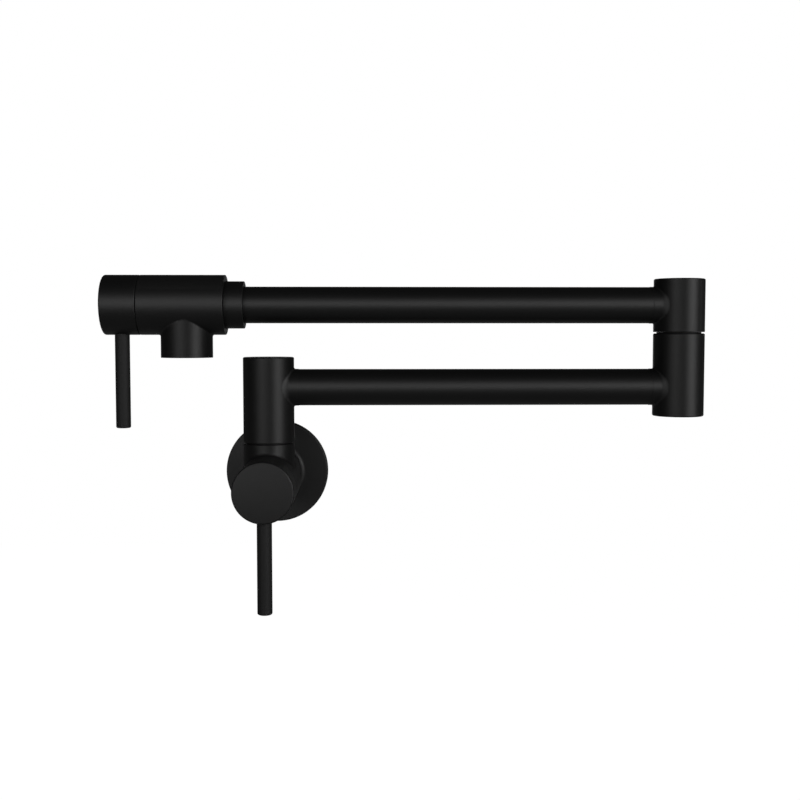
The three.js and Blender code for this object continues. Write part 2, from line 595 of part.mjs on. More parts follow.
function addUpperArm(model) {
  const arm = framed(model, LOWER_ARM, -COLUMN_OUT, 0, Math.PI); // x is now the distance from the elbow
  const valve = framed(arm, spoutOut, 0, upperArmZ);
  const tube = ring('x', TUBE_SIDES, tubeBoreR, TUBE_R, tubeSeat, upperTubeEnd);
  const collar = turned('x', BODY_SIDES, [
    [tubeSocketR, spoutBackX - COLLAR_L], [collarR - SOFT_EDGE, spoutBackX - COLLAR_L],
    [collarR, spoutBackX - COLLAR_L + SOFT_EDGE], [collarR, spoutBackX], [tubeSocketR, spoutBackX],
  ]);
  place(arm, 'upper_elbow_hub', MATTE_BLACK, turningHub(upperHubBottomZ, upperArmZ, upperHubTopZ));
  place(arm, 'upper_elbow_cap', MATTE_BLACK, hubCap(upperArmZ, upperHubTopZ));
  place(arm, 'upper_arm_tube', MATTE_BLACK, tube.translate(0, 0, upperArmZ));
  place(valve, 'spout_collar', MATTE_BLACK, collar);
  place(valve, 'spout_valve_body', MATTE_BLACK, spoutValveBody());
  addAerator(valve);
  handle(valve, 'spout', spoutFrontX + RUN, SPOUT_LEVER_REACH);
}

const potFiller = new THREE.Group();
potFiller.name = 'pot_filler';
addWallSide(potFiller);
addLowerArm(potFiller);
addUpperArm(potFiller);

export default potFiller;
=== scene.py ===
"""Looks of a wall mounted pot filler: finely turned casings, finishes, light and camera.

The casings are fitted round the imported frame. Metres throughout, in the frame's own axes: +Z up, -Y out of
the wall, +X to the right along the folded arms.
"""
import json
import math

import bmesh
import bpy
from mathutils import Matrix, Vector


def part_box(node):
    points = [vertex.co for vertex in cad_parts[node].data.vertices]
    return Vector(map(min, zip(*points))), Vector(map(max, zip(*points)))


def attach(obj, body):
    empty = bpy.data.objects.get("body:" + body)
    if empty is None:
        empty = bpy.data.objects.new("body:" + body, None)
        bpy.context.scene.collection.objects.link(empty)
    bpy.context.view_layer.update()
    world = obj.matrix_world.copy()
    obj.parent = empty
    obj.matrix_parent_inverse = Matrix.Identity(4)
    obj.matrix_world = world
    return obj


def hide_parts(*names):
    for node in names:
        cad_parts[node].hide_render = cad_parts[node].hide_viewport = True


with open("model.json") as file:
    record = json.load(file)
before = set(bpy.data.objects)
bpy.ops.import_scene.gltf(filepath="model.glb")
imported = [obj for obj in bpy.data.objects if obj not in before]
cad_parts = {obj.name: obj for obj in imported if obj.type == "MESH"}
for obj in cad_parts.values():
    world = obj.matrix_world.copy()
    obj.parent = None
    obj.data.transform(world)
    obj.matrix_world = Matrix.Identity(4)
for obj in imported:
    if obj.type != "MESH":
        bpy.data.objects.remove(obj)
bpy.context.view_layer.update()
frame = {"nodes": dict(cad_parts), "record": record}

MM = 0.001

# ------------------------------------------------------------------ sizes

# How finely the casings are turned.
SEGMENTS = 144
WIDE_SEGMENTS = 192  # round the flange and its gasket
SMALL_SEGMENTS = 96
CORNER_STEPS = 5
FILLET_STEPS = 8
SUPPORT = 0.08 * MM  # a loop this far beside each rounded edge keeps the flat next to it flat
SHARP_ANGLE = 32  # degrees that an edge turns through before it is shaded sharp
ON_AXIS = 1e-9  # a corner nearer to the turning axis than this is a pole
MERGE = 1e-7
SEAM_MERGE = 0.002 * MM
SLIVER = 0.001 * MM
PINHOLE_SIDES = 8

# Edges and gaps of the casings.
KNOB_ROUND = 1.1 * MM
KNOB_CROWN = 0.8 * MM  # how much the middle of a knob's face stands out from its rim
CROWN_STEPS = 6
SEAM_ROUND = 0.45 * MM
HUB_ROUND = 0.9 * MM
SHOULDER_ROUND = 0.3 * MM
BREAK_EDGE = 0.25 * MM
SOCKET_GAP = 0.12 * MM
FIT = 0.3 * MM
CAST_FILLET = 1.2 * MM
FILLET_SWEEP = 0.93  # the part of a fillet's full arc that is modelled before it runs into the body
FILLET_GROWTH = 10  # the power by which a fillet grows towards the sides of its branch
EMBED = 2 * MM  # how far under a body's surface the foot of a branch lies
END_FACE = 0.35  # a face whose normal leans this far along the turning axis is an end or a rim
NEAR_BRANCH = 1 / 8  # the part of its fillet's width that still counts as the branch itself
OVERCUT = 4 * MM  # how far a cutter reaches out of what it cuts
OVERLAP = 1 * MM  # how far a cut runs into the next one
FAR_BELOW = -0.2  # a height below every piece


def centre(node):
    low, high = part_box(node)
    return (low + high) / 2


def span(node, axis):
    """Where a CAD node starts and ends along an axis."""
    low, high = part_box(node)
    i = "xyz".index(axis)
    return low[i], high[i]


def radius(node, axis):
    """Half a CAD node's width across an axis."""
    low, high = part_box(node)
    return (high["xyz".index(axis)] - low["xyz".index(axis)]) / 2


valve_y = centre("wall_column_hub").y  # the plane that both arms lie in
elbow_x = centre("lower_elbow_hub").x
lower_z = centre("lower_arm_tube").z
upper_z = centre("upper_arm_tube").z
spout_x = centre("aerator_housing").x
tube_r = radius("lower_arm_tube", "z")
hub_r = radius("wall_column_hub", "x")
valve_r = radius("main_knob", "x")
lever_r = radius("main_lever", "x")

# ------------------------------------------------------------------ mesh helpers


def rounded(corners, steps=CORNER_STEPS):
    """The outline through (radius, place, rounding) corners, with an arc at each rounding."""
    points = []
    count = len(corners)
    for i, (r, t, edge) in enumerate(corners):
        here = Vector((r, t))
        if edge <= 0:
            points.append(here)
            continue
        before = (Vector(corners[i - 1][:2]) - here).normalized()
        after = (Vector(corners[(i + 1) % count][:2]) - here).normalized()
        half = before.angle(after) / 2
        middle = here + (before + after).normalized() * (edge / math.sin(half))
        start = here + before * (edge / math.tan(half)) - middle
        end = here + after * (edge / math.tan(half)) - middle
        points.append(middle + start + before * SUPPORT)
        for k in range(steps + 1):
            points.append(middle + start.slerp(end, k / steps) * edge)
        points.append(middle + end + after * SUPPORT)
    return points


def polar(r, degrees):
    return Vector((r * math.cos(math.radians(degrees)), r * math.sin(math.radians(degrees))))


def put(axis, origin, r, t, angle):
    """A point at radius r and place t along an axis that passes through origin."""
    across, up = r * math.cos(angle), r * math.sin(angle)
    if axis == "x":
        return Vector((t, origin[1] + across, origin[2] + up))
    if axis == "y":
        return Vector((origin[0] + across, t, origin[2] + up))
    return Vector((origin[0] + across, origin[1] + up, t))


def placed(name, data):
    """A new object in the scene."""
    piece = bpy.data.objects.new(name, data)
    bpy.context.scene.collection.objects.link(piece)
    return piece


def finished(name, bm):
    """An object from a bmesh: doubles merged, faces outwards, smooth but for its sharp edges."""
    bmesh.ops.remove_doubles(bm, verts=bm.verts, dist=MERGE)
    bmesh.ops.recalc_face_normals(bm, faces=bm.faces)
    mesh = bpy.data.meshes.new(name)
    bm.to_mesh(mesh)
    bm.free()
    piece = placed(name, mesh)
    shade(piece)
    return piece


def shade(piece):
    mesh = piece.data
    mesh.polygons.foreach_set("use_smooth", [True] * len(mesh.polygons))
    mesh.set_sharp_from_angle(angle=math.radians(SHARP_ANGLE))


def bridge(bm, rings, closed):
    """Quads between rings of vertices. A ring of one vertex is a pole."""
    pairs = list(zip(rings, rings[1:]))
    if closed:
        pairs.append((rings[-1], rings[0]))
    for low, high in pairs:
        count = max(len(low), len(high))
        for i in range(count):
            j = (i + 1) % count
            corners = [low[i % len(low)], low[j % len(low)], high[j % len(high)], high[i % len(high)]]
            distinct = list(dict.fromkeys(corners))
            if len(distinct) > 2:
                bm.faces.new(distinct)


def turned(name, axis, origin, corners, segments=SEGMENTS):
    """A solid turned about an axis. Its outline closes on itself, or starts and ends on the axis."""
    bm = bmesh.new()
    outline = rounded(corners)
    rings = []
    for point in outline:
        if point.x < ON_AXIS:
            rings.append([bm.verts.new(put(axis, origin, 0, point.y, 0))])
            continue
        angles = [2 * math.pi * k / segments for k in range(segments)]
        rings.append([bm.verts.new(put(axis, origin, point.x, point.y, a)) for a in angles])
    bridge(bm, rings, closed=len(rings[0]) > 1)
    return finished(name, bm)


def rod(name, axis, origin, r, start, end, segments=SMALL_SEGMENTS):
    corners = [(0, start, 0), (r, start, 0), (r, end, 0), (0, end, 0)]
    return turned(name, axis, origin, corners, segments)


def baked(piece):
    """Makes the result of a piece's modifiers its own plain mesh, and removes them."""
    bpy.context.view_layer.update()
    graph = bpy.context.evaluated_depsgraph_get()
    mesh = bpy.data.meshes.new_from_object(piece.evaluated_get(graph))
    piece.modifiers.clear()
    piece.data = mesh


def combined(piece, operation, *tools):
    """Cuts the tools out of a piece, or joins them to it."""
    for tool in tools:
        modifier = piece.modifiers.new("combine", "BOOLEAN")
        modifier.operation = operation
        modifier.solver = "EXACT"
        modifier.object = tool
        baked(piece)
        bpy.data.objects.remove(tool)
    mended(piece)
    shade(piece)
    return piece


def mended(piece):
    """Closes the seams that cutting can leave: doubles merged, slivers dissolved, pinholes filled."""
    bm = bmesh.new()
    bm.from_mesh(piece.data)
    bmesh.ops.remove_doubles(bm, verts=bm.verts, dist=SEAM_MERGE)
    bmesh.ops.dissolve_degenerate(bm, edges=bm.edges, dist=SLIVER)
    open_edges = [edge for edge in bm.edges if edge.is_boundary]
    bmesh.ops.holes_fill(bm, edges=open_edges, sides=PINHOLE_SIDES)
    bm.to_mesh(piece.data)
    bm.free()
    piece.data.name = piece.name


def branch(name, origin, along, side, out, r, body_r, end, edge, fillet=CAST_FILLET, side_fillet=None):
    """A round stub that leaves a round body at right angles, with a rolling-ball fillet where they meet.

    along is the body's axis, out the stub's, and side is square to both. end is the stub's length from the
    body's axis. The ball may grow from fillet, where the stub meets the body squarely, to side_fillet at its
    sides.
    """
    growth = (side_fillet or fillet) - fillet
    bm = bmesh.new()
    angles = [2 * math.pi * k / SEGMENTS for k in range(SEGMENTS)]

    def at(a, s, w):
        return bm.verts.new(origin + along * a + side * s + out * w)

    rings = [[at(0, 0, end)]]
    for point in rounded([(0, end, 0), (r, end, edge), (r, 0, 0)])[1:-1]:
        rings.append([at(point.x * math.cos(a), point.x * math.sin(a), point.y) for a in angles])
    for k in range(FILLET_STEPS + 1):
        ring = []
        for a in angles:
            size = fillet + growth * math.sin(a) ** FILLET_GROWTH
            ball = Vector(((r + size) * math.cos(a), (r + size) * math.sin(a), 0))
            ball.z = math.sqrt((body_r + size) ** 2 - ball.y**2)
            to_stub = Vector((-math.cos(a), -math.sin(a), 0))
            to_body = Vector((0, -ball.y, -ball.z)).normalized()
            ring.append(at(*(ball + to_stub.slerp(to_body, FILLET_SWEEP * k / FILLET_STEPS) * size)))
        rings.append(ring)
    rings.append([])
    for a in angles:
        foot = Vector((r * math.cos(a), r * math.sin(a), 0))
        foot.z = math.sqrt(body_r**2 - foot.y**2) - EMBED
        rings[-1].append(at(*foot))
    rings.append([at(0, 0, body_r - 2 * EMBED)])
    bridge(bm, rings, closed=False)
    return finished(name, bm)


def finish_faces(piece, material, chosen):
    """Gives another finish to the faces whose middle and normal are chosen."""
    piece.data.materials.append(material)
    for face in piece.data.polygons:
        if chosen(face.center, face.normal):
            face.material_index = len(piece.data.materials) - 1


def coat(piece, axis):
    """The black coating of a piece turned about an axis: drawn out round it, plain on ends and rims."""
    i = "xyz".index(axis)
    piece.data.materials.clear()
    piece.data.materials.append(black_about[axis])
    piece.data.polygons.foreach_set("material_index", [0] * len(piece.data.polygons))
    finish_faces(piece, black_plain, lambda middle, normal: abs(normal[i]) > END_FACE)
    return piece


def coat_branch(piece, axis, origin, r, fillet, start):
    """The black coating of a round branch beyond start: drawn out round its axis, plain on its fillet."""
    i = "xyz".index(axis)

    def near_branch(middle, width):
        offset = middle - origin
        along = abs(offset[i])
        offset[i] = 0
        return along > start and offset.length < width

    finish_faces(piece, black_plain, lambda middle, normal: near_branch(middle, r + fillet))
    finish_faces(
        piece, black_about[axis],
        lambda middle, normal: near_branch(middle, r + fillet * NEAR_BRANCH) and abs(normal[i]) < END_FACE,
    )
    return piece


def dress(piece, body, slot, finish, *nodes):
    """Gives a piece its body and a finish unless it has one, and hides the CAD nodes that it stands for."""
    if finish:
        piece.data.materials.clear()
        piece.data.materials.append(finish)
    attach(piece, body)
    if nodes:
        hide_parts(*nodes)


def dress_turned(piece, axis, body, node):
    """Coats and dresses a black piece that was turned about an axis."""
    dress(coat(piece, axis), body, "matte_black", None, node)


# ------------------------------------------------------------------ shared effects


def group_tree(kind, name, inputs, outputs):
    """An empty node group with its named sockets, and its two end nodes. An input may bring its value."""
    tree = bpy.data.node_groups.new(name, kind)
    for label, socket_type, *value in inputs:
        socket = tree.interface.new_socket(name=label, in_out="INPUT", socket_type=socket_type)
        if value:
            socket.default_value = value[0]
    for label, socket_type in outputs:
        tree.interface.new_socket(name=label, in_out="OUTPUT", socket_type=socket_type)
    return tree, tree.nodes.new("NodeGroupInput"), tree.nodes.new("NodeGroupOutput")


def feed(tree, socket, value):
    """Links another socket to a socket, or sets it to a number or a colour."""
    if hasattr(value, "is_linked"):
        tree.links.new(value, socket)
    else:
        socket.default_value = value


def noise(tree, vector, scale, detail, roughness):
    node = tree.nodes.new("ShaderNodeTexNoise")
    node.inputs["Detail"].default_value = detail
    node.inputs["Roughness"].default_value = roughness
    tree.links.new(vector, node.inputs["Vector"])
    feed(tree, node.inputs["Scale"], scale)
    return node.outputs["Fac"]


def ranged(tree, value, low, high):
    """A 0 to 1 value spread over low to high, each a number or a socket."""
    node = tree.nodes.new("ShaderNodeMapRange")
    tree.links.new(value, node.inputs["Value"])
    feed(tree, node.inputs["To Min"], low)
    feed(tree, node.inputs["To Max"], high)
    return node.outputs["Result"]


def calculate(tree, operation, first, second, clamp=False):
    node = tree.nodes.new("ShaderNodeMath")
    node.operation = operation
    node.use_clamp = clamp
    for socket, value in zip(node.inputs, (first, second)):
        feed(tree, socket, value)
    return node.outputs["Value"]


def mixed(tree, factor, first, second):
    node = tree.nodes.new("ShaderNodeMix")
    node.data_type = "RGBA"
    tree.links.new(factor, node.inputs["Factor"])
    for label, colour in (("A", first), ("B", second)):
        feed(tree, [s for s in node.inputs if s.name == label and s.type == "RGBA"][0], colour)
    return [s for s in node.outputs if s.type == "RGBA"][0]


def effect_group(name, inputs, patch_detail, patch_roughness, relief_detail, relief_roughness=0.5):
    """A surface effect: patches that mix two colours and two roughnesses, and a fine relief.

    inputs are two colours, the scales of the patches and of the relief, and two roughnesses, in that order.
    """
    tree, start, end = group_tree(
        "ShaderNodeTree",
        name,
        [("Vector", "NodeSocketVector"), *inputs],
        [("Colour", "NodeSocketColor"), ("Roughness", "NodeSocketFloat"), ("Height", "NodeSocketFloat")],
    )
    vector = start.outputs["Vector"]
    first, second, patch_scale, relief_scale, smooth, dull = (start.outputs[label] for label, *_ in inputs)
    patches = noise(tree, vector, patch_scale, patch_detail, patch_roughness)
    relief = noise(tree, vector, relief_scale, relief_detail, relief_roughness)
    colour = mixed(tree, patches, first, second)
    dulling = ranged(tree, patches, smooth, dull)
    tree.links.new(colour, end.inputs["Colour"])
    tree.links.new(dulling, end.inputs["Roughness"])
    tree.links.new(relief, end.inputs["Height"])
    return tree


# A baked coating: faint clouds of thickness, and a fine peel that roughens the surface.
COATING = effect_group(
    "baked coating",
    [
        ("Thin Colour", "NodeSocketColor", (0.02, 0.02, 0.02, 1)),
        ("Thick Colour", "NodeSocketColor", (0.01, 0.01, 0.01, 1)),
        ("Cloud Scale", "NodeSocketFloat", 30.0),
        ("Peel Scale", "NodeSocketFloat", 1500.0),
        ("Smooth Roughness", "NodeSocketFloat", 0.4),
        ("Dull Roughness", "NodeSocketFloat", 0.5),
    ],
    patch_detail=3,
    patch_roughness=0.5,
    relief_detail=2,
)
# Bare metal or plastic: a fine tooth of machining or moulding, and blotches where it has dulled.
MACHINED = effect_group(
    "machined surface",
    [
        ("Clean Colour", "NodeSocketColor", (0.5, 0.5, 0.5, 1)),
        ("Dull Colour", "NodeSocketColor", (0.4, 0.4, 0.4, 1)),
        ("Blotch Scale", "NodeSocketFloat", 120.0),
        ("Tooth Scale", "NodeSocketFloat", 3000.0),
        ("Clean Roughness", "NodeSocketFloat", 0.25),
        ("Dull Roughness", "NodeSocketFloat", 0.45),
    ],
    patch_detail=4,
    patch_roughness=0.6,
    relief_detail=1,
)


def grey(value, tint=(1, 1, 1)):
    return (value * tint[0], value * tint[1], value * tint[2], 1)


def material(name, effect, values, peel, metallic=0.0, specular=0.5, grain=None, spread=0.0):
    """A finish: an effect group with its own values, read from Object coordinates, on a Principled BSDF.

    grain is the axis that a piece was turned about, and spread is how far its fine rings draw a highlight out
    along it.
    """
    made = bpy.data.materials.new(name)
    made.use_nodes = True
    tree = made.node_tree
    shader = tree.nodes["Principled BSDF"]
    place = tree.nodes.new("ShaderNodeTexCoord")
    mapping = tree.nodes.new("ShaderNodeMapping")
    finish = tree.nodes.new("ShaderNodeGroup")
    finish.node_tree = effect
    bump = tree.nodes.new("ShaderNodeBump")
    bump.inputs["Distance"].default_value = peel
    for label, value in values.items():
        finish.inputs[label].default_value = value
    tree.links.new(place.outputs["Object"], mapping.inputs["Vector"])
    tree.links.new(mapping.outputs["Vector"], finish.inputs["Vector"])
    tree.links.new(finish.outputs["Colour"], shader.inputs["Base Color"])
    tree.links.new(finish.outputs["Roughness"], shader.inputs["Roughness"])
    tree.links.new(finish.outputs["Height"], bump.inputs["Height"])
    tree.links.new(bump.outputs["Normal"], shader.inputs["Normal"])
    shader.inputs["Metallic"].default_value = metallic
    shader.inputs["Specular IOR Level"].default_value = specular
    if grain:
        along = tree.nodes.new("ShaderNodeCombineXYZ")
        for label, value in zip("XYZ", grain):
            along.inputs[label].default_value = value
        turn = tree.nodes.new("ShaderNodeVectorTransform")
        turn.vector_type = "VECTOR"
        turn.convert_from = "OBJECT"
        turn.convert_to = "WORLD"
        tree.links.new(along.outputs["Vector"], turn.inputs["Vector"])
        tree.links.new(turn.outputs["Vector"], shader.inputs["Tangent"])
        shader.inputs["Anisotropic"].default_value = spread
    return made


BLACK_SPREAD = 0.55
BLACK_SPECULAR = 0.35
BLACK_PEEL = 0.004 * MM
DULLER = 0.17  # how much rougher the levers are, which show one broad dim highlight
# Set against the photograph under these lamps. Most of what shows is sheen, so the colour is very dark.
BLACK_VALUES = {
    "Thin Colour": grey(0.0034),
    "Thick Colour": grey(0.0026),
    "Cloud Scale": 45.0,
    "Peel Scale": 1400.0,
    "Smooth Roughness": 0.5,
    "Dull Roughness": 0.54,
}
# A grain is tipped a little off its axis, so that it has a direction on faces square to the axis too.
BLACK_GRAINS = {"x": (1, 0.02, 0), "y": (0.02, 1, 0), "z": (0.02, 0, 1)}


def black_coating(name, grain=None, spread=0.0, duller=0.0):
    """The matte black coating, with its highlight drawn out along a grain, and rougher by duller."""
    values = dict(BLACK_VALUES)
    values["Smooth Roughness"] += duller
    values["Dull Roughness"] += duller
    return material(
        name, COATING, values, peel=BLACK_PEEL, specular=BLACK_SPECULAR, grain=grain, spread=spread
    )


black_plain = black_coating("matte_black")
black_dull = black_coating("matte_black_dull", duller=DULLER)
black_about = {
    axis: black_coating("matte_black_turned_about_" + axis, grain, BLACK_SPREAD)
    for axis, grain in BLACK_GRAINS.items()
}
raw_brass = material(
    "turned brass",
    MACHINED,
    {
        "Clean Colour": (0.72, 0.52, 0.24, 1),
        "Dull Colour": (0.52, 0.36, 0.16, 1),
        "Blotch Scale": 140.0,
        "Tooth Scale": 2600.0,
        "Clean Roughness": 0.24,
        "Dull Roughness": 0.42,
    },
    peel=0.008 * MM,
    metallic=1.0,
)
stainless = material(
    "stainless steel",
    MACHINED,
    {
        "Clean Colour": grey(0.6, (1, 1, 1.02)),
        "Dull Colour": grey(0.48),
        "Clean Roughness": 0.22,
        "Dull Roughness": 0.38,
    },
    peel=0.005 * MM,
    metallic=1.0,
)
black_rubber = material(
    "black rubber",
    MACHINED,
    {
        "Clean Colour": grey(0.018),
        "Dull Colour": grey(0.028),
        "Blotch Scale": 260.0,
        "Tooth Scale": 1800.0,
        "Clean Roughness": 0.62,
        "Dull Roughness": 0.8,
    },
    peel=0.02 * MM,
    specular=0.35,
)
white_ceramic = material(
    "lapped ceramic",
    MACHINED,
    {
        "Clean Colour": (0.82, 0.8, 0.76, 1),
        "Dull Colour": (0.76, 0.74, 0.7, 1),
        "Clean Roughness": 0.18,
        "Dull Roughness": 0.3,
    },
    peel=0.002 * MM,
)
acetal = material(
    "moulded acetal",
    MACHINED,
    {
        "Clean Colour": grey(0.005),
        "Dull Colour": grey(0.008),
        "Blotch Scale": 90.0,
        "Tooth Scale": 1500.0,
        "Clean Roughness": 0.5,
        "Dull Roughness": 0.62,
    },
    peel=0.01 * MM,
    specular=0.12,
)

FINISHES = {
    "matte_black": black_plain,
    "brass": raw_brass,
    "steel": stainless,
    "rubber": black_rubber,
    "ceramic": white_ceramic,
    "plastic": acetal,
}

for subpart in frame["record"]["subparts"]:
    cad_node = frame["nodes"][subpart["node"]]
    cad_node.data.materials.clear()
    cad_node.data.materials.append(FINISHES[subpart["material_slot"]])

# ------------------------------------------------------------------ casings on the wall side

wall_axis = Vector((0, 0, 0))
column_axis = Vector((0, valve_y, 0))
elbow_axis = Vector((elbow_x, valve_y, 0))
TO_ROOM = Vector((0, -1, 0))
UP = Vector((0, 0, 1))
RIGHT = Vector((1, 0, 0))

FLANGE_ROUND = 0.9 * MM
GASKET_WIDTH = 3.4 * MM
GASKET_ROUND = 0.6 * MM
THREAD_PITCH = 1.814 * MM
THREAD_DEPTH = 1.1 * MM
THREAD_START = 1.0 * MM
THREAD_TURNS = 9.6
THREAD_STEPS = 64  # in each turn
BODY_WALL = 4 * MM
STEP_ROUND = 0.4 * MM
POST_WALL = 2 * MM
SPINDLE_R = 4 * MM
SCREW_R = 2.6 * MM
LEVER_ROUND = 1 * MM
FLARE = 3.2 * MM  # how far the valve body spreads where it meets the flange
FLARE_STEPS = 8
NECK_FILLET = 2.5 * MM
PASSAGE_R = 7.5 * MM


def flange():
    front, back = span("wall_flange", "y")
    outer = radius("wall_flange", "x")
    gasket_outer = radius("flange_gasket", "x")
    groove = span("flange_gasket", "y")[0]
    bore = radius("inlet_shank", "x") + FIT
    corners = [
        (bore, back, 0),
        (gasket_outer - GASKET_WIDTH - FIT, back, 0),
        (gasket_outer - GASKET_WIDTH - FIT, groove, 0),
        (gasket_outer + FIT, groove, 0),
        (gasket_outer + FIT, back, 0),
        (outer, back, BREAK_EDGE),
        (outer, front, FLANGE_ROUND),
        (bore, front, 0),
    ]
    return turned("wall_flange_face", "y", wall_axis, corners, WIDE_SEGMENTS)


def main_body():
    """The horizontal valve body with its bores, its inlet barrel and the neck under the wall column."""
    front, back = span("main_valve_body", "y")
    neck_top = span("main_valve_body", "z")[1]
    nut_r = radius("main_cartridge_nut", "x") + FIT
    chamber_r = radius("main_cartridge_housing", "x") + FIT
    nut_back = span("main_cartridge_nut", "y")[1]
    seat = span("main_cartridge_seal", "y")[1]
    washer_front = span("inlet_washer", "y")[0]
    shank_r = radius("inlet_shank", "x") + FIT
    shoulder = seat + BODY_WALL
    flare = [polar(FLARE, 90 + 90 * k / FLARE_STEPS) for k in range(1, FLARE_STEPS + 1)]
    corners = [
        (shank_r, back, 0),
        (hub_r + FLARE, back, 0),
        *((hub_r + FLARE + point.x, back - FLARE + point.y, 0) for point in flare),
        (hub_r, shoulder, STEP_ROUND),
        (valve_r, shoulder, HUB_ROUND),
        (valve_r, front, SEAM_ROUND),
        (nut_r, front, BREAK_EDGE),
        (nut_r, nut_back, 0),
        (chamber_r, nut_back, 0),
        (chamber_r, seat, 0),
        (PASSAGE_R, seat, 0),
        (PASSAGE_R, washer_front, 0),
        (shank_r, washer_front, 0),
    ]
    body = turned("main_valve_casing", "y", wall_axis, corners)
    post_r = radius("wall_post", "x")
    neck = branch("neck", column_axis, TO_ROOM, RIGHT, UP, hub_r, valve_r, neck_top, SEAM_ROUND, NECK_FILLET)
    socket = rod("socket", "z", column_axis, post_r + FIT, span("wall_post", "z")[0], neck_top + OVERCUT)
    riser = rod("riser", "z", column_axis, post_r - POST_WALL, 0, neck_top)
    combined(body, "UNION", neck)
    return combined(body, "DIFFERENCE", socket, riser)


def knob(name, node, lever_node, axis, origin, face, back):
    """A plain round knob with its spindle bore and the hole that the lever stands in."""
    inward = math.copysign(1, back - face)
    crown = [
        (valve_r * k / CROWN_STEPS, face + inward * KNOB_CROWN * (k / CROWN_STEPS) ** 2, 0)
        for k in range(CROWN_STEPS)
    ]
    rim = (valve_r, face + inward * KNOB_CROWN, KNOB_ROUND)
    piece = turned(name, axis, origin, [*crown, rim, (valve_r, back, SEAM_ROUND), (0, back, 0)])
    stem = centre(lever_node)
    lever_top = span(lever_node, "z")[1]
    spindle_end = span(node.replace("knob", "spindle"), axis)
    end = min(spindle_end, key=lambda place: abs(place - face))
    bore = rod("bore", axis, origin, SPINDLE_R + FIT, end, back + inward * OVERCUT)
    lever_hole = rod("hole", "z", stem, lever_r + SOCKET_GAP, FAR_BELOW, lever_top)
    screw_hole = rod("screw_hole", "z", stem, SCREW_R, lever_top - OVERLAP, origin.z)
    return combined(piece, "DIFFERENCE", bore, lever_hole, screw_hole)


def lever(name, node):
    low, high = span(node, "z")
    corners = [(0, low, 0), (lever_r, low, LEVER_ROUND), (lever_r, high, BREAK_EDGE), (0, high, 0)]
    return turned(name, "z", centre(node), corners, SMALL_SEGMENTS)


def gasket():
    """The rubber ring in the flange's back that meets the wall."""
    front, back = span("flange_gasket", "y")
    outer = radius("flange_gasket", "x")
    inner = outer - GASKET_WIDTH
    corners = [(inner, front, 0), (outer, front, 0), (outer, back, GASKET_ROUND), (inner, back, GASKET_ROUND)]
    return turned("wall_gasket", "y", wall_axis, corners, WIDE_SEGMENTS)


def shank():
    """The inlet's tube, turned down to the root of its thread."""
    front, back = span("inlet_shank", "y")
    outer = radius("inlet_shank", "x")
    root = outer - THREAD_DEPTH
    corners = [
        (PASSAGE_R, front, 0),
        (outer, front, 0),
        (outer, THREAD_START, BREAK_EDGE),
        (root, THREAD_START, 0),
        (root, back, BREAK_EDGE),
        (PASSAGE_R, back, BREAK_EDGE),
    ]
    return turned("inlet_tube", "y", wall_axis, corners)


